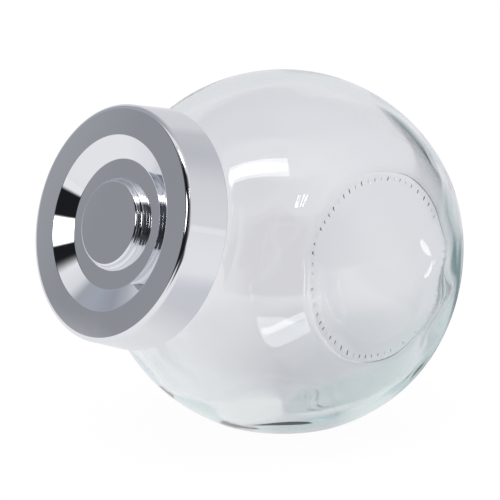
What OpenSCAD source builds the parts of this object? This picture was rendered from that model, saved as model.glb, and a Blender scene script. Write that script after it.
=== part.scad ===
// Globe spice jar that lies on a flat on its side, with a dished screw lid facing forward and up.
// Millimetres, +Z up. The origin is the middle of the side flat, and the lid looks towards -Y.
// Profiles are drawn in a plane with the radius along X and the jar's own axis along Y,
// and the middle of the globe is their zero point.

/* [Globe] */
// Outer diameter of the globe
globe_d = 74; // [68:0.5:82]
// Thickness of the glass, in the globe, the heel, the side flat and the neck
wall = 2; // [1.6:0.1:3.2]

/* [Side flat] */
// How far the side flat cuts into the globe
side_cut = 2.8; // [1.5:0.1:4.5]
// Angle of the jar's axis above the table while it lies on the side flat
tilt = 17; // [10:0.5:26]

/* [Base] */
// How far the base cuts into the globe, opposite the neck
base_cut = 7.5; // [6:0.1:9.5]
// Thickness of the glass at the base, over its bearing ring
base_thick = 2.6; // [1.8:0.1:6]
// How far the straight heel above the base lies inside the globe's curve
heel_inset = 1; // [0.6:0.05:1.6]
// Angle between the heel's outward normal and the axis
heel_dir = 42.6; // [38:0.1:46]
// Radius of the soft turn from the globe into the heel
heel_r = 15; // [8:0.5:20]
// Radius of the turn from the heel into the base
base_edge_r = 1; // [0.5:0.1:3]
// Radius of the inside corner between the heel and the base
floor_r = 2.5; // [1:0.1:6]
// Diameter of the shallow hollow under the base
hollow_d = 32; // [26:0.2:35]
// Depth of that hollow at its middle
hollow_depth = 0.9; // [0.3:0.1:1.4]

/* [Neck] */
// Outer diameter of the neck, without its thread
neck_d = 37.6; // [33:0.2:42]
// Height of the rim above the globe's own crown
neck_rise = 3.65; // [2.5:0.05:8]
// Radius of the hollow curve from the globe up into the neck
neck_fillet = 3.5; // [1.5:0.1:5]
// Radius of the rounded edges of the rim
rim_edge_r = 0.7; // [0.4:0.05:0.75]

/* [Lid shell] */
// Wall of the plated shell
shell_wall = 1.15; // [0.8:0.05:1.5]
// Height of the lid from its back edge to its face
lid_h = 9.2; // [8.4:0.1:11.5]
// Outward lean of the skirt
skirt_lean = 5; // [1:0.5:8]
// Radius of the edge between the face and the skirt
face_edge_r = 0.95; // [0.4:0.05:1.4]
// Diameter of the dish at the face
dish_d = 33.6; // [30:0.2:36]
// Diameter of the flat floor of the dish
dish_floor_d = 25.2; // [22:0.2:28]
// Depth of the dish, and so the height of the knob in it
dish_depth = 1.95; // [1.6:0.05:2.6]
// Diameter of the knob's upper tier
knob_d = 16.6; // [13:0.2:19]
// How far the knob's lower tier stands out
knob_step = 0.55; // [0.3:0.05:1]
// Height of the knob's lower tier
knob_step_h = 1; // [0.8:0.05:1.3]
// Radius of the two rounded edges of the knob
knob_edge_r = 0.45; // [0.2:0.05:0.55]
// Inward reach of the lip that keeps the inner cap in the shell
lip_reach = 0.7; // [0.3:0.05:0.9]
// Height of that lip
lip_h = 0.7; // [0.4:0.05:1]

/* [Inner cap and sealing wad] */
// Room between the neck and the inner cap for their threads
thread_room = 1.4; // [1:0.05:1.8]
// Wall of the inner cap's skirt
cap_wall = 1.3; // [1:0.05:1.8]
// Thickness of the inner cap's deck
cap_deck = 1.2; // [0.8:0.05:1.6]
// Thickness of the sealing wad
wad_t = 1; // [0.6:0.05:1.4]
// Running clearance between the inner cap and the shell, and round the wad
fit_gap = 0.1; // [0.05:0.01:0.2]

/* [Hidden] */
$fn = 160;
blend_over = 0.01;

// Glass
globe_r = globe_d / 2;
flat_drop = globe_r - side_cut;
base_drop = globe_r - base_cut;
neck_r = neck_d / 2;
bore_r = neck_r - wall;
rim_z = globe_r + neck_rise;
heel_drop = globe_r - heel_inset;

// Lid stack, counted up from the rim of the glass
cap_deck_z = rim_z + wad_t;
dish_under_z = cap_deck_z + cap_deck;
dish_floor_z = dish_under_z + shell_wall;
face_z = dish_floor_z + dish_depth;
face_under_z = face_z - shell_wall;
back_z = face_z - lid_h;
cap_back_z = back_z + lip_h + fit_gap;

// Lid radii, counted outwards from the neck
cap_bore_r = neck_r + thread_room;
cap_r = cap_bore_r + cap_wall;
shell_bore_r = cap_r + fit_gap;
face_r = shell_bore_r + shell_wall - face_edge_r;
dish_r = dish_d / 2;
dish_floor_r = dish_floor_d / 2;
knob_r = knob_d / 2;
knob_base_r = knob_r + knob_step;

// Unit step in the profile plane, at an angle from straight down the axis towards the outside
function step(angle) = [sin(angle), -cos(angle)];

// Disc that rounds a corner: a hair over its radius, so that it crosses the lines it blends
module round_at(middle, radius) {
    translate(middle) circle(radius + blend_over);
}

// Half of the profile plane, between two heights
module band(low, high) {
    translate([0, low]) square([globe_d, high - low]);
}

// Hollow curve from a globe into a neck, and the neck up to a given height
module neck_profile(globe, neck, fillet, top) {
    middle_z = sqrt(pow(globe + fillet, 2) - pow(neck + fillet, 2));
    middle = [neck + fillet, middle_z];
    square([neck, top]);
    difference() {
        polygon([[0, 0], middle, [0, middle_z]]);
        round_at(middle, fillet);
    }
}

// Globe, its soft turn into the straight heel and the corner into a flat end, all at an inset from the outside
module globe_profile(inset, end_drop, corner_r) {
    globe = globe_r - inset;
    turn = heel_r - inset;
    line_drop = heel_drop - inset;
    reach = 2 * globe;
    turn_dir = heel_dir + acos((line_drop - turn) / (globe - turn));
    turn_middle = (globe - turn) * step(turn_dir);
    corner_z = corner_r - end_drop;
    corner_middle = [(line_drop - corner_r + corner_z * cos(heel_dir)) / sin(heel_dir), corner_z];
    intersection() {
        circle(globe);
        polygon([[0, 0], reach * step(turn_dir), reach * step((turn_dir + 180) / 2), [0, reach]]);
    }
    round_at(turn_middle, turn);
    polygon([
        [0, turn],
        turn_middle,
        turn_middle + turn * step(heel_dir),
        corner_middle + corner_r * step(heel_dir),
        corner_middle,
        [corner_middle.x, -end_drop],
        [0, -end_drop]
    ]);
    round_at(corner_middle, corner_r);
}

// Outside of the glass, turned about its axis
module glass_outside() {
    hollow_r = (pow(hollow_d / 2, 2) + pow(hollow_depth, 2)) / (2 * hollow_depth);
    rim_middle = [neck_r - rim_edge_r, rim_z - rim_edge_r];
    rotate_extrude()
        difference() {
            intersection() {
                band(-base_drop, rim_z);
                union() {
                    globe_profile(0, base_drop, base_edge_r);
                    neck_profile(globe_r, neck_r, neck_fillet, rim_z - rim_edge_r);
                    square([neck_r - rim_edge_r, rim_z]);
                    round_at(rim_middle, rim_edge_r);
                }
            }
            translate([0, hollow_depth - base_drop - hollow_r]) circle(hollow_r);
        }
}

// Space inside the glass, turned about the same axis, and open past the rim
module glass_inside() {
    floor_drop = base_drop - base_thick;
    mouth_z = rim_z + wall;
    rim_middle = [bore_r + rim_edge_r, rim_z - rim_edge_r];
    rotate_extrude()
        intersection() {
            band(-floor_drop, mouth_z);
            union() {
                globe_profile(wall, floor_drop, floor_r);
                neck_profile(globe_r - wall, bore_r, neck_fillet + wall, mouth_z);
                difference() {
                    translate([0, rim_middle.y]) square([rim_middle.x, mouth_z - rim_middle.y]);
                    round_at(rim_middle, rim_edge_r);
                }
            }
        }
}

// Places a piece that was turned about its axis as the jar lies on its side flat
module laid() {
    translate([0, 0, flat_drop]) rotate([90 - tilt, 0, 0]) children();
}

// Everything below a level
module below(level) {
    translate([-globe_d, -globe_d, level - globe_d]) cube([2 * globe_d, 2 * globe_d, globe_d]);
}

module glass_jar() {
    color([0.85, 0.9, 0.9, 0.4])
        difference() {
            laid() glass_outside();
            below(0);
            difference() {
                laid() glass_inside();
                below(wall);
            }
        }
}

// One tier of the knob, rising out of the dish floor to a rounded edge
module tier(radius, top) {
    edge_middle = [radius - knob_edge_r, top - knob_edge_r];
    translate([0, dish_under_z]) square([radius, edge_middle.y - dish_under_z]);
    translate([0, dish_under_z]) square([edge_middle.x, top - dish_under_z]);
    intersection() {
        round_at(edge_middle, knob_edge_r);
        translate([0, dish_under_z]) square([radius, top - dish_under_z]);
    }
}

// Outside of the shell: leaning skirt, flat face, dish and stepped knob
module shell_outside() {
    edge_middle = [face_r, face_z - face_edge_r];
    lean_start = edge_middle + face_edge_r * step(90 + skirt_lean);
    back_r = lean_start.x + (lean_start.y - back_z) * tan(skirt_lean);
    intersection() {
        band(back_z, face_z);
        union() {
            polygon([
                [0, back_z], [back_r, back_z], lean_start, edge_middle, [face_r, face_z],
                [dish_r, face_z], [dish_floor_r, dish_floor_z], [0, dish_floor_z]
            ]);
            round_at(edge_middle, face_edge_r);
        }
    }
    tier(knob_base_r, dish_floor_z + knob_step_h);
    tier(knob_r, face_z);
}

// Inside of the shell, one wall in from the face, the dish and the knob
module shell_inside() {
    slope = atan2(dish_depth, dish_r - dish_floor_r);
    under = shell_wall * tan(slope / 2);
    lip_top = back_z + lip_h;
    knob_bore_r = knob_r - shell_wall;
    translate([0, back_z]) square([shell_bore_r - lip_reach, lip_h]);
    polygon([
        [0, lip_top], [shell_bore_r, lip_top], [shell_bore_r, face_under_z - face_edge_r],
        [face_r, face_under_z], [dish_r + under, face_under_z], [dish_floor_r + under, dish_under_z],
        [knob_bore_r, dish_under_z], [knob_bore_r, face_under_z], [0, face_under_z]
    ]);
}

module lid_shell() {
    color([0.78, 0.79, 0.81])
        laid()
            rotate_extrude()
                difference() {
                    shell_outside();
                    shell_inside();
                }
}

module inner_cap() {
    color([0.95, 0.95, 0.93])
        laid()
            rotate_extrude()
                difference() {
                    translate([0, cap_back_z]) square([cap_r, dish_under_z - cap_back_z]);
                    translate([0, cap_back_z]) square([cap_bore_r, cap_deck_z - cap_back_z]);
                }
}

module sealing_wad() {
    color([0.9, 0.89, 0.84])
        laid()
            translate([0, 0, rim_z]) cylinder(h = wad_t, r = cap_bore_r - fit_gap);
}

glass_jar();
lid_shell();
inner_cap();
sealing_wad();
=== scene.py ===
import bpy
import numpy as np
from mathutils import Matrix, Vector


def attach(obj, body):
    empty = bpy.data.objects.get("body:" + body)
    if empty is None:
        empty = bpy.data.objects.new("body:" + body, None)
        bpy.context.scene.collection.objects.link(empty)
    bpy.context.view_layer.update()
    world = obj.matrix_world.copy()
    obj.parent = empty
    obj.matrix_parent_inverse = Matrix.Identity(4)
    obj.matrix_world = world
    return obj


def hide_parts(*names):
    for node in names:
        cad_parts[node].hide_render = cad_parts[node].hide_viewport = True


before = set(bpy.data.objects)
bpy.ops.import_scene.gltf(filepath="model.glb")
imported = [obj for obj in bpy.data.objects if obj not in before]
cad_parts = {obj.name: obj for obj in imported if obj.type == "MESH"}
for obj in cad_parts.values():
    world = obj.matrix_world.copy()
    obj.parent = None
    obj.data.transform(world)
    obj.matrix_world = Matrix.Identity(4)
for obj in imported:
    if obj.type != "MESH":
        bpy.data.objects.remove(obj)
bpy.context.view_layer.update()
scene = bpy.context.scene
print("frame loaded:", ", ".join(sorted(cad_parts)))

# Every piece is turned about the jar's own axis, in mm from the middle of the globe, and then laid down.
lay = dict(tilt=17.0, middleHeight=34.2)


def toTable(points):
    # The axis leans back from upright to tilt degrees above the table, the middle of the globe rises, mm become m.
    turn = np.radians(90 - lay["tilt"])
    x, y, z = points[..., 0], points[..., 1], points[..., 2]
    up = y * np.sin(turn) + z * np.cos(turn) + lay["middleHeight"]
    return np.stack((x, y * np.cos(turn) - z * np.sin(turn), up), axis=-1) / 1000


def belowMiddle(points):
    # How far each point is below the middle of the globe once the jar is laid down.
    tilt = np.radians(lay["tilt"])
    return -(points[..., 1] * np.cos(tilt) + points[..., 2] * np.sin(tilt))


def fromAxis(points):
    # Distance of each point from the jar's axis.
    return np.hypot(points[..., 0], points[..., 1])


def arc(middle, radius, start, end, step):
    # Part of a circle: its middle plus the radius at angles from start to end, about step mm apart.
    count = max(3, int(np.ceil(abs(np.radians(end - start)) * radius / step)) + 1)
    angle = np.radians(np.linspace(start, end, count))
    return np.column_stack((middle[0] + radius * np.cos(angle), middle[1] + radius * np.sin(angle)))


def straight(first, last, step, hold=0.03):
    # Straight line with one point close to each end, so that smooth shading turns only in that short stretch.
    first, last = np.array(first, float), np.array(last, float)
    length = np.linalg.norm(last - first)
    inner = np.array([length / 2])
    if length > 3 * hold:
        inner = np.linspace(hold, length - hold, max(2, int(length / step) + 1))
    return first + np.outer(inner / length, last - first)


def roundedPath(corners, arcStep=6.0, step=1.2):
    # Straight lines through corners (radius, height, rounding); each corner is a circle tangent to its two lines.
    # The circles have a point every arcStep degrees, and the lines one every step mm.
    points = np.array([corner[:2] for corner in corners], float)
    roundings = [corner[2] for corner in corners[1:-1]]
    runs, leave = [points[:1]], points[0]
    for here, before, after, rounding in zip(points[1:-1], points[:-2], points[2:], roundings):
        back = (before - here) / np.linalg.norm(before - here)
        on = (after - here) / np.linalg.norm(after - here)
        half = np.arccos(np.clip(back @ on, -1, 1)) / 2
        middle = here + (back + on) / np.linalg.norm(back + on) * rounding / np.sin(half)
        enter, depart = here + back * rounding / np.tan(half), here + on * rounding / np.tan(half)
        start = np.degrees(np.arctan2(*(enter - middle)[::-1]))
        end = np.degrees(np.arctan2(*(depart - middle)[::-1]))
        end += 360 * np.round((start - end) / 360)
        runs += [straight(leave, enter, step), arc(middle, rounding, start, end, np.radians(arcStep) * rounding)]
        leave = depart
    runs += [straight(leave, points[-1], step), points[-1:]]
    return np.concatenate(runs)


def turned(profile, sides):
    # Rings of points: each profile point (radius, height) carried round the axis, evenly in angle.
    angle = np.linspace(0, 2 * np.pi, sides, endpoint=False)
    radius, height = profile[:, :1], profile[:, 1:]
    return np.stack((radius * np.cos(angle), radius * np.sin(angle), height + 0 * angle), axis=-1)


def endsOnAxis(profile):
    # The two points of the axis where a closed profile starts and ends.
    return np.array([[0, 0, profile[0][1]], [0, 0, profile[-1][1]]])


def smoothStep(value, low, high):
    # 0 below low, 1 above high, and an S curve between them.
    share = np.clip((value - low) / (high - low), 0, 1)
    return share * share * (3 - 2 * share)


def threadRise(ring, thread):
    # Height of the ridges at each point: from each start a ridge climbs by lead a turn, its section is one wave
    # of a cosine, and it fades in and out at its two ends.
    angle = np.degrees(np.arctan2(ring[..., 1], ring[..., 0])) % (360 / thread["starts"])
    offset = (ring[..., 2] - thread["firstHeight"] - thread["lead"] * angle / 360) / thread["halfWidth"]
    section = np.where(np.abs(offset) < 1, 0.5 + 0.5 * np.cos(np.pi * offset), 0)
    fadeIn = smoothStep(angle, thread["begin"], thread["begin"] + thread["fade"])
    fadeOut = 1 - smoothStep(angle, thread["end"] - thread["fade"], thread["end"])
    return thread["rise"] * section * fadeIn * fadeOut


def closedMesh(name, rings, poles, material, body, node):
    # Closed surface from one pole to the other through rings of points. Between two rings lie four-sided faces,
    # and where one ring has a multiple of the other's points, one many-sided face for each point of the coarser.
    counts = [len(ring) for ring in rings]
    starts = 1 + np.concatenate(([0], np.cumsum(counts)))
    points = toTable(np.concatenate([poles[:1], *rings, poles[1:]]))
    first, final = np.arange(counts[0]), np.arange(counts[-1])
    sheets = [np.column_stack((0 * first, starts[0] + np.roll(first, -1), starts[0] + first))]
    for lower, upper, lowerStart, upperStart in zip(counts[:-1], counts[1:], starts[:-2], starts[1:-1]):
        sides = min(lower, upper)
        side = np.arange(sides)[:, None]
        lowerStep, upperStep = lower // sides, upper // sides
        along = lowerStart + (side * lowerStep + np.arange(lowerStep + 1)) % lower
        back = upperStart + (side * upperStep + np.arange(upperStep, -1, -1)) % upper
        sheets.append(np.hstack((along, back)))
    sheets.append(np.column_stack((starts[-2] + final, starts[-2] + np.roll(final, -1), 0 * final + starts[-1])))

    widths = np.concatenate([np.full(len(sheet), sheet.shape[1]) for sheet in sheets])
    corners = np.concatenate([sheet.ravel() for sheet in sheets])
    mesh = bpy.data.meshes.new(name)
    mesh.vertices.add(len(points))
    mesh.vertices.foreach_set("co", points.ravel())
    mesh.loops.add(len(corners))
    mesh.loops.foreach_set("vertex_index", corners)
    mesh.polygons.add(len(widths))
    mesh.polygons.foreach_set("loop_start", np.concatenate(([0], np.cumsum(widths)[:-1])))
    mesh.polygons.foreach_set("loop_total", widths)
    mesh.polygons.foreach_set("use_smooth", np.ones(len(widths), bool))
    mesh.update(calc_edges=True)
    mesh.validate()
    mesh.materials.append(material)
    piece = bpy.data.objects.new(name, mesh)
    scene.collection.objects.link(piece)
    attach(piece, body)
    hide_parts(node)
    print(name, "has", int((widths - 2).sum()), "triangles")


def linear(code):
    # sRGB hex to the linear colour that a socket takes.
    shade = np.array([int(code[i:i + 2], 16) for i in (1, 3, 5)]) / 255
    shade = np.where(shade <= 0.04045, shade / 12.92, ((shade + 0.055) / 1.055) ** 2.4)
    return (*shade.tolist(), 1.0)


def addNode(tree, kind, sockets=None, **settings):
    # One node: its settings by name, and its sockets by name or number, each a value or another node's output.
    node = tree.nodes.new(kind)
    for key, value in settings.items():
        setattr(node, key, value)
    for key, value in (sockets or {}).items():
        if isinstance(value, bpy.types.NodeSocket):
            tree.links.new(value, node.inputs[key])
        else:
            node.inputs[key].default_value = value
    return node


def newMaterial(name):
    # A bare material: itself, its nodes, its output and the object coordinates that its patterns read.
    material = bpy.data.materials.new(name)
    material.use_nodes = True
    tree = material.node_tree
    tree.nodes.clear()
    output = addNode(tree, "ShaderNodeOutputMaterial")
    return material, tree, output, addNode(tree, "ShaderNodeTexCoord").outputs["Object"]


def perMetre(millimetres):
    # Texture scale, in repeats per metre, for a pattern of that size.
    return 1000 / millimetres


# A mix of colours has sockets of the same name for other kinds of value, so its own go by number.
mixShare, mixFirst, mixSecond, mixResult = 0, 6, 7, 2
pureWhite = linear("#FFFFFF")

# The lengths in the four looks below are in mm.

# Soda-lime glass, blown in a mould: clear, with a weak ripple from the mould and a sea-green tint where it is deep.
glassLook = dict(ior=1.52, ripple=14.0, rippleStrength=0.015, rippleDepth=2.0, tint="#A3DCDC", density=20.0)
clearGlass, tree, output, place = newMaterial("sodaLimeGlass")
ripple = addNode(tree, "ShaderNodeTexNoise", {
    "Vector": place, "Scale": perMetre(glassLook["ripple"]), "Detail": 1.0})
bump = addNode(tree, "ShaderNodeBump", {
    "Height": ripple.outputs["Fac"], "Strength": glassLook["rippleStrength"],
    "Distance": glassLook["rippleDepth"] / 1000})
glassShader = addNode(tree, "ShaderNodeBsdfPrincipled", {
    "Base Color": pureWhite, "Roughness": 0.0, "IOR": glassLook["ior"], "Transmission Weight": 1.0,
    "Normal": bump.outputs["Normal"]})
depth = addNode(tree, "ShaderNodeVolumeAbsorption", {
    "Color": linear(glassLook["tint"]), "Density": glassLook["density"]})
tree.links.new(glassShader.outputs["BSDF"], output.inputs["Surface"])
tree.links.new(depth.outputs["Volume"], output.inputs["Volume"])

# Bright chrome on moulded ABS: a mirror with the faint orange peel of the plastic and a thin haze from wiping.
chromeLook = dict(colour="#E3E5E9", peel=2.2, peelStrength=0.004, peelDepth=0.4, haze=9.0, hazeSpan=(0.35, 0.7),
                  roughness=(0.015, 0.05))
chromePlate, tree, output, place = newMaterial("chromePlatedAbs")
peel = addNode(tree, "ShaderNodeTexNoise", {
    "Vector": place, "Scale": perMetre(chromeLook["peel"]), "Detail": 1.0})
bump = addNode(tree, "ShaderNodeBump", {
    "Height": peel.outputs["Fac"], "Strength": chromeLook["peelStrength"],
    "Distance": chromeLook["peelDepth"] / 1000})
haze = addNode(tree, "ShaderNodeTexNoise", {
    "Vector": place, "Scale": perMetre(chromeLook["haze"]), "Detail": 3.0})
wiped = addNode(tree, "ShaderNodeMapRange", {
    "Value": haze.outputs["Fac"], "From Min": chromeLook["hazeSpan"][0], "From Max": chromeLook["hazeSpan"][1],
    "To Min": chromeLook["roughness"][0], "To Max": chromeLook["roughness"][1]})
chromeShader = addNode(tree, "ShaderNodeBsdfPrincipled", {
    "Base Color": linear(chromeLook["colour"]), "Metallic": 1.0, "Roughness": wiped.outputs["Result"],
    "Normal": bump.outputs["Normal"]})
tree.links.new(chromeShader.outputs["BSDF"], output.inputs["Surface"])

# Natural white polypropylene, injection moulded: waxy, half matt, and a little light comes through it.
capLook = dict(light="#F2F2EE", dark="#E6E6E0", cloud=6.0, grain=0.35, grainStrength=0.1, grainDepth=0.1,
               roughness=0.38, waxy=0.15, waxyDepth=1.0)
polypropylene, tree, output, place = newMaterial("whitePolypropylene")
cloud = addNode(tree, "ShaderNodeTexNoise", {
    "Vector": place, "Scale": perMetre(capLook["cloud"]), "Detail": 2.0})
tone = addNode(tree, "ShaderNodeMix", {
    mixShare: cloud.outputs["Fac"], mixFirst: linear(capLook["dark"]), mixSecond: linear(capLook["light"])},
    data_type="RGBA")
grain = addNode(tree, "ShaderNodeTexNoise", {"Vector": place, "Scale": perMetre(capLook["grain"])})
bump = addNode(tree, "ShaderNodeBump", {
    "Height": grain.outputs["Fac"], "Strength": capLook["grainStrength"],
    "Distance": capLook["grainDepth"] / 1000})
capShader = addNode(tree, "ShaderNodeBsdfPrincipled", {
    "Base Color": tone.outputs[mixResult], "Roughness": capLook["roughness"], "Subsurface Weight": capLook["waxy"],
    "Subsurface Scale": capLook["waxyDepth"] / 1000, "Normal": bump.outputs["Normal"]})
tree.links.new(capShader.outputs["BSDF"], output.inputs["Surface"])

# Polyethylene foam, sliced from a sheet: matt, cream white, with cells of about a third of a millimetre.
foamLook = dict(light="#F0EEE6", dark="#D2CFC4", cell=0.35, cellStrength=0.5, cellDepth=0.1, roughness=0.85)
foam, tree, output, place = newMaterial("polyethyleneFoam")
cells = addNode(tree, "ShaderNodeTexVoronoi", {"Vector": place, "Scale": perMetre(foamLook["cell"])})
tone = addNode(tree, "ShaderNodeMix", {
    mixShare: cells.outputs["Distance"], mixFirst: linear(foamLook["dark"]), mixSecond: linear(foamLook["light"])},
    data_type="RGBA")
bump = addNode(tree, "ShaderNodeBump", {
    "Height": cells.outputs["Distance"], "Strength": foamLook["cellStrength"],
    "Distance": foamLook["cellDepth"] / 1000})
foamShader = addNode(tree, "ShaderNodeBsdfPrincipled", {
    "Base Color": tone.outputs[mixResult], "Roughness": foamLook["roughness"], "Normal": bump.outputs["Normal"]})
tree.links.new(foamShader.outputs["BSDF"], output.inputs["Surface"])
print("materials made")

# Glass jar: the outside from under the base up to the rim, then the inside from the rim down to the floor.
# Its step lists how far apart the rings of points are along each stretch, in mm.
jar = dict(
    globe=37.0, wall=2.0, sideDrop=34.2, sideSoft=1.9, baseDrop=29.5, baseThick=2.6, heelDrop=36.0, heelDir=42.6,
    heelRound=15.0, baseRound=1.0, floorRound=2.5, hollow=16.0, hollowDepth=0.9, neck=18.8, rim=40.65,
    neckFillet=3.5, rimRound=0.7, sides=300, ringRows=22, nearNeck=0.01,
    step=dict(hollow=1.6, corner=0.25, heel=0.8, turn=0.9, globe=1.3, fillet=0.4, neck=0.28, rim=0.12, bore=0.7,
              boreFillet=0.5, floor=1.8))
stipple = dict(ticks=63, inner=18.75, outer=20.2, halfWidth=0.5, soft=0.5, depth=0.15, uneven=0.35, jumble=2.4,
               finer=4)
# Waves of the inside: each has a length in mm, a direction round the axis in radians, a climb and a shift. The pairs
# are heights or distances in mm between which the waves come in or die down.
mouldWaves = dict(
    waves=((19.0, 0.7, 0.9, 0.0), (13.0, 2.8, 0.1, 1.3), (9.0, 4.9, -0.7, 2.6)), depth=0.02,
    heelDepth=0.03, heel=(-22.0, -6.0), sideDepth=0.06, side=(14.0, 28.0), neck=(19.0, 31.0),
    floorCalm=0.8, floorEdge=(19.6, 22.5))
neckThread = dict(starts=4, lead=8.0, firstHeight=38.2, halfWidth=0.6, rise=0.95, fade=14.0, begin=0.0, end=80.0)

# The fillet from globe to neck has one middle, for the outside and the inside alike.
filletMiddle = np.array((jar["neck"] + jar["neckFillet"], 0.0))
filletMiddle[1] = np.sqrt((jar["globe"] + jar["neckFillet"]) ** 2 - filletMiddle[0] ** 2)
filletDir = np.degrees(np.arctan2(filletMiddle[1], filletMiddle[0]))


def globeSection(inset, endDrop, cornerRound):
    # Corner into the flat end, straight heel, soft turn and globe up to the fillet, at an inset from the outside.
    heelDir, step = np.radians(jar["heelDir"]), jar["step"]
    away = np.array((np.sin(heelDir), -np.cos(heelDir)))
    globe, lineDrop, heelRound = jar["globe"] - inset, jar["heelDrop"] - inset, jar["heelRound"] - inset
    cornerHeight = cornerRound - endDrop
    corner = np.array(((lineDrop - cornerRound + cornerHeight * np.cos(heelDir)) / np.sin(heelDir), cornerHeight))
    turn = heelDir + np.arccos((lineDrop - heelRound) / (globe - heelRound))
    turnMiddle = (globe - heelRound) * np.array((np.sin(turn), -np.cos(turn)))
    heelStart, heelEnd = jar["heelDir"] - 90, np.degrees(turn) - 90
    return np.concatenate((
        arc(corner, cornerRound, -90, heelStart, step["corner"]),
        straight(corner + cornerRound * away, turnMiddle + heelRound * away, step["heel"]),
        arc(turnMiddle, heelRound, heelStart, heelEnd, step["turn"]),
        arc((0, 0), globe, heelEnd, filletDir, step["globe"])[1:]))


def neckSection():
    # Hollow fillet, neck, the two rounded edges of the rim, bore and the fillet's other side.
    bore, rimRound, step = jar["neck"] - jar["wall"], jar["rimRound"], jar["step"]
    rimMiddle = jar["rim"] - rimRound
    outside = np.concatenate((
        arc(filletMiddle, jar["neckFillet"], filletDir + 180, 180, step["fillet"])[1:],
        straight((jar["neck"], filletMiddle[1]), (jar["neck"], rimMiddle), step["neck"]),
        arc((jar["neck"] - rimRound, rimMiddle), rimRound, 0, 90, step["rim"])))
    inside = np.concatenate((
        arc((bore + rimRound, rimMiddle), rimRound, 90, 180, step["rim"]),
        straight((bore, rimMiddle), (bore, filletMiddle[1]), step["bore"]),
        arc(filletMiddle, jar["neckFillet"] + jar["wall"], 180, 180 + filletDir, step["boreFillet"])))
    return outside, inside


def withSideFlat(rings, drop):
    # Along each ray from the middle of the globe, the distance is the soft minimum of the globe's and the flat's:
    # the lesser, less a sixth of sideSoft where they are equal, and the change fades out as a cube.
    leastDown, farOff = 0.2, 1000.0  # a ray that hardly goes down never meets the flat
    distance = np.linalg.norm(rings, axis=-1)
    down = belowMiddle(rings) / distance
    flat = np.where(down > leastDown, drop / np.maximum(down, leastDown), farOff)
    near = np.maximum(jar["sideSoft"] - np.abs(distance - flat), 0) / jar["sideSoft"]
    soft = np.minimum(distance, flat) - near ** 3 * jar["sideSoft"] / 6
    return rings * (soft / distance)[..., None]


def stippled(rings):
    # Short radial dents: the depth, uneven from tick to tick, times an S curve across each tick and at its ends.
    radius = fromAxis(rings)
    pitch = 2 * np.pi / stipple["ticks"]
    angle = np.arctan2(rings[..., 1], rings[..., 0])
    aside = np.abs((angle / pitch + 0.5) % 1 - 0.5) * pitch * radius
    number = np.round(angle / pitch) % stipple["ticks"]
    across = 1 - smoothStep(aside, 0, stipple["halfWidth"])
    across = across * (1 + stipple["uneven"] * np.sin(stipple["jumble"] * number ** 2))
    along = smoothStep(radius, stipple["inner"], stipple["inner"] + stipple["soft"])
    along = along * (1 - smoothStep(radius, stipple["outer"] - stipple["soft"], stipple["outer"]))
    rings = rings.copy()
    rings[..., 2] += stipple["depth"] * across * along
    return rings


def waved(rings):
    # The inside of moulded glass isn't even: three crossing cosine waves are added along the ray from the middle,
    # deeper towards the heel and the side flat, calmer on the floor, and fading out below the neck.
    distance, height = np.linalg.norm(rings, axis=-1), rings[..., 2]
    wave = 0
    for length, lean, climb, shift in mouldWaves["waves"]:
        along = np.array((np.cos(lean), np.sin(lean), climb))
        wave = wave + np.cos(2 * np.pi / length * (rings @ (along / np.linalg.norm(along))) + shift)
    depth = mouldWaves["depth"] + mouldWaves["heelDepth"] * (1 - smoothStep(height, *mouldWaves["heel"]))
    depth = depth + mouldWaves["sideDepth"] * smoothStep(belowMiddle(rings), *mouldWaves["side"])
    depth = depth * (1 - smoothStep(height, *mouldWaves["neck"]))
    onFloor = (height < 0) * (1 - smoothStep(fromAxis(rings), *mouldWaves["floorEdge"]))
    depth = depth * (1 - mouldWaves["floorCalm"] * onFloor)
    return rings * (1 + depth * wave / distance)[..., None]


base, floor = -jar["baseDrop"], jar["baseThick"] - jar["baseDrop"]
hollowRound = (jar["hollow"] ** 2 + jar["hollowDepth"] ** 2) / (2 * jar["hollowDepth"])
hollowPart = arc((0, base + jar["hollowDepth"] - hollowRound), hollowRound, 90,
                 np.degrees(np.arccos(jar["hollow"] / hollowRound)), jar["step"]["hollow"])
outsidePart = globeSection(0, jar["baseDrop"], jar["baseRound"])
insidePart = globeSection(jar["wall"], jar["baseDrop"] - jar["baseThick"], jar["floorRound"])[::-1]
floorPart = straight(insidePart[-1], (0, floor), jar["step"]["floor"])
ringPart = np.linspace((jar["hollow"], base), outsidePart[0], jar["ringRows"])
neckOutside, neckInside = neckSection()
neckRings = turned(neckOutside, jar["sides"])
outward = neckRings[..., :2] / fromAxis(neckRings)[..., None]
onOutside = fromAxis(neckRings) > jar["neck"] - jar["nearNeck"]  # not the rim's rounded edge
neckRings[..., :2] += outward * (threadRise(neckRings, neckThread) * onOutside)[..., None]
rings = [
    *turned(hollowPart[1:-1], jar["sides"]),
    *stippled(turned(ringPart, jar["sides"] * stipple["finer"])),
    *withSideFlat(turned(outsidePart[1:], jar["sides"]), jar["sideDrop"]),
    *neckRings,
    *turned(neckInside, jar["sides"]),
    *waved(withSideFlat(turned(insidePart[1:], jar["sides"]), jar["sideDrop"] - jar["wall"])),
    *waved(turned(floorPart, jar["sides"])),
]
poles = np.concatenate(([[0, 0, hollowPart[0][1]]], waved(np.array([[0, 0, floor]]))))
closedMesh("jarGlass", rings, poles, clearGlass, "jar", "glass_jar")

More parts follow.
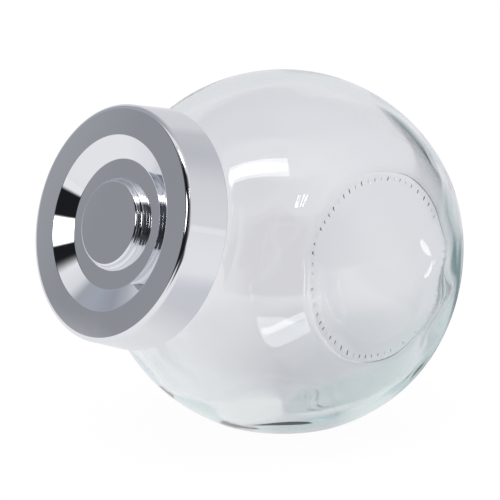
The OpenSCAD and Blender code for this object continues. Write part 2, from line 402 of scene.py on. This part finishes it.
# Plated shell of the lid: underside and bore, the lip that holds the cap, skirt, face, dish and stepped knob.
# Its soft lists the rounding of each edge.
shell = dict(
    back=36.75, lipTop=37.45, lipBore=20.9, bore=21.6, faceUnder=44.8, dishUnder=42.85, face=45.95, dishFloor=44.0,
    outer=22.75, lean=5.0, dish=16.8, dishFlat=12.6, knob=8.3, knobBase=8.85, knobStep=45.0, wall=1.15, sides=300,
    soft=dict(face=0.95, dish=0.4, dishFoot=0.5, knob=0.45, knobFoot=0.1, knobTier=0.05, knobUnder=0.2,
              dishUnder=0.5, bore=0.4, lipFoot=0.1, lipTop=0.12, lip=0.2, back=0.25))


def shellProfile():
    # Corner points of the section with the rounding of each, from the middle underneath to the middle of the knob.
    soft, knobBore = shell["soft"], shell["knob"] - shell["wall"]
    lean = np.tan(np.radians(shell["lean"]))
    halfEdge = 0.5 * soft["face"] * lean
    skirtTop = shell["outer"] - halfEdge
    backEdge = skirtTop + (shell["face"] - shell["back"]) * lean - halfEdge
    slope = np.arctan2(shell["face"] - shell["dishFloor"], shell["dish"] - shell["dishFlat"])
    under = shell["wall"] * np.tan(slope / 2)
    return roundedPath([
        (0, shell["faceUnder"], 0),
        (knobBore, shell["faceUnder"], soft["knobUnder"]),
        (knobBore, shell["dishUnder"], soft["knobUnder"]),
        (shell["dishFlat"] + under, shell["dishUnder"], soft["dishUnder"]),
        (shell["dish"] + under, shell["faceUnder"], soft["dishUnder"]),
        (shell["bore"], shell["faceUnder"], soft["bore"]),
        (shell["bore"], shell["lipTop"], soft["lipFoot"]),
        (shell["lipBore"], shell["lipTop"], soft["lipTop"]),
        (shell["lipBore"], shell["back"], soft["lip"]),
        (backEdge, shell["back"], soft["back"]),
        (skirtTop, shell["face"], soft["face"]),
        (shell["dish"], shell["face"], soft["dish"]),
        (shell["dishFlat"], shell["dishFloor"], soft["dishFoot"]),
        (shell["knobBase"], shell["dishFloor"], soft["knobFoot"]),
        (shell["knobBase"], shell["knobStep"], soft["knob"]),
        (shell["knob"], shell["knobStep"], soft["knobTier"]),
        (shell["knob"], shell["face"], soft["knob"]),
        (0, shell["face"], 0)])


profile = shellProfile()
closedMesh("platedShell", list(turned(profile[1:-1], shell["sides"])), endsOnAxis(profile), chromePlate,
           "lid", "lid_shell")

# Threaded cap inside the shell: deck, skirt and the ridges that catch under the neck's ridges.
cap = dict(deckUnder=41.65, deckTop=42.85, bore=20.2, outer=21.5, back=37.55, edge=0.15, arcStep=22.5, step=0.25,
           nearBore=0.02, sides=300)
capThread = dict(starts=4, lead=8.0, firstHeight=37.2, halfWidth=0.6, rise=0.9, fade=14.0, begin=30.0, end=90.0)
profile = roundedPath([
    (0, cap["deckUnder"], 0), (cap["bore"], cap["deckUnder"], cap["edge"]), (cap["bore"], cap["back"], cap["edge"]),
    (cap["outer"], cap["back"], cap["edge"]), (cap["outer"], cap["deckTop"], cap["edge"]), (0, cap["deckTop"], 0)],
    cap["arcStep"], cap["step"])
capRings = turned(profile[1:-1], cap["sides"])
radius = fromAxis(capRings)
# Only the bore below the deck's rounded corner carries the ridges.
inBore = np.abs(radius - cap["bore"]) < cap["nearBore"]
inBore = inBore & (capRings[..., 2] < cap["deckUnder"] - cap["edge"])
capRings[..., :2] *= (1 - threadRise(capRings, capThread) * inBore / radius)[..., None]
closedMesh("threadedCap", list(capRings), endsOnAxis(profile), polypropylene, "lid", "inner_cap")

# Foam wad that lies in the cap, on the rim of the glass.
wad = dict(bottom=40.65, top=41.65, outer=20.1, edge=0.2, arcStep=15.0, step=0.5, sides=240)
profile = roundedPath([
    (0, wad["bottom"], 0), (wad["outer"], wad["bottom"], wad["edge"]), (wad["outer"], wad["top"], wad["edge"]),
    (0, wad["top"], 0)], wad["arcStep"], wad["step"])
closedMesh("foamWad", list(turned(profile[1:-1], wad["sides"])), endsOnAxis(profile), foam, "wad", "sealing_wad")
print("pieces made")

# Camera: the photograph's direction and framing, for a square picture. Lengths in metres, but the sensor in mm.
view = dict(right=Vector((0.6508, 0.7593, 0.0)), up=Vector((-0.1965, 0.1684, 0.9659)),
            back=Vector((0.7334, -0.6286, 0.2588)), distance=0.44395, across=-0.00659, rise=0.00041,
            fieldOfView=13.04, sensor=36.0, nearest=0.01)
globeMiddle = Vector((0, 0, lay["middleHeight"] / 1000))


def fromView(across, rise, towards):
    # A direction given in the camera's own axes.
    return view["right"] * across + view["up"] * rise + view["back"] * towards


def placed(point, right, up, back):
    # Where a camera or a lamp stands: a point, and the directions of its own three axes.
    return Matrix.Translation(point) @ Matrix((right, up, back)).transposed().to_4x4()


camera = bpy.data.cameras.new("photoCamera")
camera.sensor_width = view["sensor"]
camera.lens = view["sensor"] / 2 / np.tan(np.radians(view["fieldOfView"] / 2))
camera.clip_start = view["nearest"]
cameraObject = bpy.data.objects.new("photoCamera", camera)
standpoint = globeMiddle + fromView(view["across"], view["rise"], view["distance"])
cameraObject.matrix_world = placed(standpoint, view["right"], view["up"], view["back"])
scene.collection.objects.link(cameraObject)
bpy.context.scene.camera = cameraObject

# Lamps: directions in the camera's axes, from the middle of the globe; lengths in metres; turn in degrees;
# brightness as radiance.
lamps = dict(
    overhead=dict(towards=(-0.21, 0.785, 0.583), distance=0.63, size=(0.32, 0.1), turn=0, radiance=4.2),
    leftTube=dict(towards=(0.146, 0.495, 0.856), distance=0.6, size=(0.085, 0.008), turn=75, radiance=9.0),
    rightTube=dict(towards=(0.208, 0.505, 0.838), distance=0.6, size=(0.085, 0.008), turn=70, radiance=9.0),
)
for name, lamp in lamps.items():
    light = bpy.data.lights.new(name, "AREA")
    light.shape = "RECTANGLE"
    light.size, light.size_y = lamp["size"]
    light.energy = lamp["radiance"] * np.pi * light.size * light.size_y  # watts
    lightObject = bpy.data.objects.new(name, light)
    away = fromView(*lamp["towards"]).normalized()
    side = (view["right"] - away * view["right"].dot(away)).normalized()
    side.rotate(Matrix.Rotation(np.radians(lamp["turn"]), 3, away))
    lightObject.matrix_world = placed(globeMiddle + away * lamp["distance"], side, away.cross(side), away)
    scene.collection.objects.link(lightObject)

front = view["right"].cross(Vector((0, 0, 1)))  # level, from the jar towards the camera


def roundTable(tree, place, stops):
    # Colour by the angle round the table from the camera's side, positive to the right: stops of (degrees, colour).
    across = addNode(tree, "ShaderNodeVectorMath", {0: place, 1: view["right"]}, operation="DOT_PRODUCT")
    forward = addNode(tree, "ShaderNodeVectorMath", {0: place, 1: front}, operation="DOT_PRODUCT")
    angle = addNode(tree, "ShaderNodeMath", {0: across.outputs["Value"], 1: forward.outputs["Value"]},
                    operation="ARCTAN2")
    share = addNode(tree, "ShaderNodeMapRange", {"Value": angle.outputs[0], "From Min": -np.pi, "From Max": np.pi})
    ramp = addNode(tree, "ShaderNodeValToRGB", {"Fac": share.outputs["Result"]})
    elements = ramp.color_ramp.elements
    for stop in stops[1:-1]:
        elements.new(stop[0] / 360 + 0.5)
    for element, (degrees, colour) in zip(elements, stops):
        element.position, element.color = degrees / 360 + 0.5, linear(colour)
    return ramp.outputs["Color"]


# Floor and room as the mirror and the glass see them, in bands from the floor up; each band is a set of colours
# round the table. The camera sees white instead, and light falling straight on the pieces sees the plain colour, so
# these are painted reflections. The floor is white in front and on the left and greyer behind, painted shade where
# less light falls, and its far edge in front is dark. The walls are dark on the camera's side, up to a white
# ceiling, and the low wall behind on the right is teal.
floorFar = (
    (-180, "#EAE7EC"), (-152, "#EAE7EC"), (-141, "#BCBDC2"), (-131, "#CBCCD0"), (-118, "#F3F3F5"),
    (-93, "#FFFFFF"), (-45, "#FFFFFF"), (75, "#FAFAFB"), (88, "#E6E6E9"), (112, "#DDE0E2"), (119, "#C6CED0"),
    (123, "#7C9094"), (136, "#7C9094"), (142, "#C6CCCE"), (150, "#E4E3E7"), (157, "#EAE7EC"), (180, "#EAE7EC"))
# Painted dark reflection: the floor's far edge in front is dark only for the mirror and the glass.
darkEdge = ((-30, "#BCBCC0"), (-20, "#4A4C50"), (15, "#4A4C50"), (38, "#FAFAFB"))
floorEdge = sorted(floorFar + darkEdge)
wallsLow = (
    (-180, "#E1E1E4"), (-150, "#E1E1E4"), (-143, "#E3E4E8"), (-136, "#BABCC2"), (-129, "#A3A5B1"),
    (-116, "#AFB4BF"), (-105, "#B4B6BA"), (-102.5, "#A6A8AC"), (-101, "#999A9F"), (-97, "#9FA0A5"),
    (-90, "#8A8C92"), (-80, "#4E5054"), (-72, "#1E2022"), (-5, "#1E2022"), (20, "#5A5C60"), (40, "#BCBCBE"),
    (60, "#EFEFF1"), (95, "#E6E6E9"), (112, "#D8D9DB"), (118, "#4A686C"), (122, "#12343A"), (150, "#12343A"),
    (155, "#A0A8AA"), (160, "#E4E4E7"), (180, "#E1E1E4"))
wallsHigh = (
    (-180, "#E1E1E4"), (-143, "#E3E4E8"), (-136, "#BABCC2"), (-129, "#A3A5B1"), (-116, "#AFB4BF"),
    (-105, "#AFB2B8"), (-97, "#94959B"), (-90, "#7B7D82"), (-80, "#3C3E42"), (-72, "#1E2022"), (-25, "#1E2022"),
    (10, "#4A4C50"), (25, "#808286"), (45, "#CECED2"), (60, "#EFEFF1"), (95, "#E6E6E9"), (115, "#D4D5D8"),
    (150, "#D2D3D6"), (160, "#E4E4E7"), (180, "#E1E1E4"))
wallsTop = (
    (-180, "#CBCBCF"), (-130, "#A9ACB4"), (-103, "#B0B4BC"), (-92, "#ECECEE"), (-74, "#FBFBFC"),
    (-64, "#1E2022"), (-25, "#1E2022"), (10, "#6A6C70"), (45, "#E0E0E2"), (60, "#F2F2F4"), (95, "#E1E1E4"),
    (123, "#CCCDD1"), (150, "#D0D0D4"), (180, "#CBCBCF"))
ceiling = (
    (-180, "#CBCBCF"), (-130, "#A9ACB4"), (-103, "#B0B4BC"), (-92, "#ECECEE"), (-80, "#FBFBFC"), (0, "#F2F2F4"),
    (60, "#F2F2F4"), (95, "#E1E1E4"), (123, "#CCCDD1"), (150, "#D0D0D4"), (180, "#CBCBCF"))
# A band starts between two sines of the height angle. The two painted glints on the left are painted highlights,
# bright spots that only the mirror and the glass show; each has a direction in the camera's axes, a radius of the
# core and of the edge in degrees, and a brightness.
room = dict(
    plain="#E7E7E9",
    bands=((0.04, 0.08, wallsLow), (0.31, 0.36, wallsHigh), (0.59, 0.65, wallsTop), (0.85, 0.9, ceiling)),
    paintedGlints=(((-0.755, 0.265, 0.601), 2.5, 8.4, 9.0), ((-0.986, 0.1765, 0.037), 0.32, 0.42, 6.0)))
world = bpy.data.worlds.new("studio")
scene.world = world
world.use_nodes = True
tree = world.node_tree
tree.nodes.clear()
path = addNode(tree, "ShaderNodeLightPath").outputs
direction = addNode(tree, "ShaderNodeTexCoord").outputs["Generated"]
height = addNode(tree, "ShaderNodeSeparateXYZ", {0: direction}).outputs["Z"]
around = roundTable(tree, direction, floorEdge)
for low, high, stops in room["bands"]:
    above = addNode(tree, "ShaderNodeMapRange", {"Value": height, "From Min": low, "From Max": high},
                    interpolation_type="SMOOTHSTEP")
    around = addNode(tree, "ShaderNodeMix", {
        mixShare: above.outputs["Result"], mixFirst: around, mixSecond: roundTable(tree, direction, stops)},
        data_type="RGBA").outputs[mixResult]
# Painted highlights: each bright spot is added to what the mirror and the glass see.
for towards, core, edge, brightness in room["paintedGlints"]:
    near = addNode(tree, "ShaderNodeVectorMath", {0: direction, 1: fromView(*towards).normalized()},
                   operation="DOT_PRODUCT")
    paintedSpot = addNode(tree, "ShaderNodeMapRange", {
        "Value": near.outputs["Value"], "From Min": np.cos(np.radians(edge)), "From Max": np.cos(np.radians(core)),
        "To Max": brightness}, interpolation_type="SMOOTHERSTEP")
    around = addNode(tree, "ShaderNodeMix", {mixShare: 1.0, mixFirst: around, mixSecond: paintedSpot.outputs["Result"]},
                     data_type="RGBA", blend_type="ADD").outputs[mixResult]
# Only the mirror and the glass see the painted room; the camera sees white and other rays see the plain colour.
sharp = addNode(tree, "ShaderNodeMath", {0: path["Is Glossy Ray"], 1: path["Is Transmission Ray"]},
                operation="MAXIMUM")
seen = addNode(tree, "ShaderNodeMix", {
    mixShare: sharp.outputs[0], mixFirst: linear(room["plain"]), mixSecond: around}, data_type="RGBA")
seen = addNode(tree, "ShaderNodeMix", {
    mixShare: path["Is Camera Ray"], mixFirst: seen.outputs[mixResult], mixSecond: pureWhite}, data_type="RGBA")
sky = addNode(tree, "ShaderNodeBackground", {"Color": seen.outputs[mixResult], "Strength": 1.0})
addNode(tree, "ShaderNodeOutputWorld", {"Surface": sky.outputs["Background"]})

# Floor: a pale sheet that the camera sees as white with a faint shadow, and the mirror and the glass in colours that
# go from those close by to floorFar and then floorEdge, each change between two distances in metres. The mirror and
# the glass see it mostly as a glow of these colours, so the colours close by are painted shadow of the jar, and the
# far ones are painted reflections.
sheet = dict(
    half=3.0, cells=8, gap=0.0002, colour="#EDEDF0", camera=0.93, white=1.03, sharp=0.75,
    reach=(0.055, 0.088), edge=(0.18, 0.23),
    # Painted shadow: the colours close by are greyer behind the jar, in front of it and on its right.
    close=((-180, "#D3D2D7"), (-135, "#F2F1F5"), (-80, "#FFFFFF"), (-35, "#FFFFFF"), (0, "#E2E2E6"),
           (40, "#DDE0E3"), (62, "#F2F8F8"), (88, "#EEF5F5"), (97, "#CAD6D7"), (125, "#CAD6D7"), (138, "#DADBDF"),
           (180, "#D3D2D7")))
floorPaper, tree, output, place = newMaterial("palePaper")
path = addNode(tree, "ShaderNodeLightPath").outputs
distance = addNode(tree, "ShaderNodeVectorMath", {0: place}, operation="LENGTH").outputs["Value"]
around = roundTable(tree, place, sheet["close"])
for (low, high), stops in ((sheet["reach"], floorFar), (sheet["edge"], floorEdge)):
    beyond = addNode(tree, "ShaderNodeMapRange", {"Value": distance, "From Min": low, "From Max": high},
                     interpolation_type="SMOOTHSTEP")
    around = addNode(tree, "ShaderNodeMix", {
        mixShare: beyond.outputs["Result"], mixFirst: around, mixSecond: roundTable(tree, place, stops)},
        data_type="RGBA").outputs[mixResult]
sharp = addNode(tree, "ShaderNodeMath", {0: path["Is Glossy Ray"], 1: path["Is Transmission Ray"]},
                operation="MAXIMUM")
tone = addNode(tree, "ShaderNodeMix", {
    mixShare: sharp.outputs[0], mixFirst: linear(sheet["colour"]), mixSecond: around}, data_type="RGBA")
paper = addNode(tree, "ShaderNodeBsdfDiffuse", {"Color": tone.outputs[mixResult]})
# The glow that the mirror and the glass see carries the painted shadow and the painted reflections.
paintedGlow = addNode(tree, "ShaderNodeEmission", {"Color": around, "Strength": 1.0})
whiteGlow = addNode(tree, "ShaderNodeEmission", {"Color": pureWhite, "Strength": sheet["white"]})
glow = addNode(tree, "ShaderNodeMixShader", {
    0: path["Is Camera Ray"], 1: paintedGlow.outputs[0], 2: whiteGlow.outputs[0]})
lift = addNode(tree, "ShaderNodeMath", {0: sharp.outputs[0], 1: sheet["sharp"]}, operation="MULTIPLY")
lift = addNode(tree, "ShaderNodeMix", {"Factor": path["Is Camera Ray"], "A": lift.outputs[0], "B": sheet["camera"]})
seen = addNode(tree, "ShaderNodeMixShader", {0: lift.outputs[0], 1: paper.outputs[0], 2: glow.outputs[0]})
tree.links.new(seen.outputs[0], output.inputs["Surface"])

# An even grid of squares, a hair below the jar.
row = sheet["cells"] + 1
grid = np.linspace(-sheet["half"], sheet["half"], row)
floorPoints = np.stack((*np.meshgrid(grid, grid), np.full((row, row), -sheet["gap"])), axis=-1).reshape(-1, 3)
square = (np.arange(sheet["cells"])[:, None] * row + np.arange(sheet["cells"])).ravel()
floorFaces = np.column_stack((square, square + 1, square + row + 1, square + row))
floorMesh = bpy.data.meshes.new("floorSheet")
floorMesh.from_pydata(floorPoints.tolist(), [], floorFaces.tolist())
floorMesh.materials.append(floorPaper)
floorSheet = bpy.data.objects.new("floorSheet", floorMesh)
scene.collection.objects.link(floorSheet)

# Light has to pass many walls of glass before it reaches the camera.
bounces = dict(glass=24, mirror=12)
scene.view_settings.view_transform = "Standard"
scene.cycles.max_bounces = bounces["glass"]
scene.cycles.transmission_bounces = bounces["glass"]
scene.cycles.glossy_bounces = bounces["mirror"]
print("stage made")
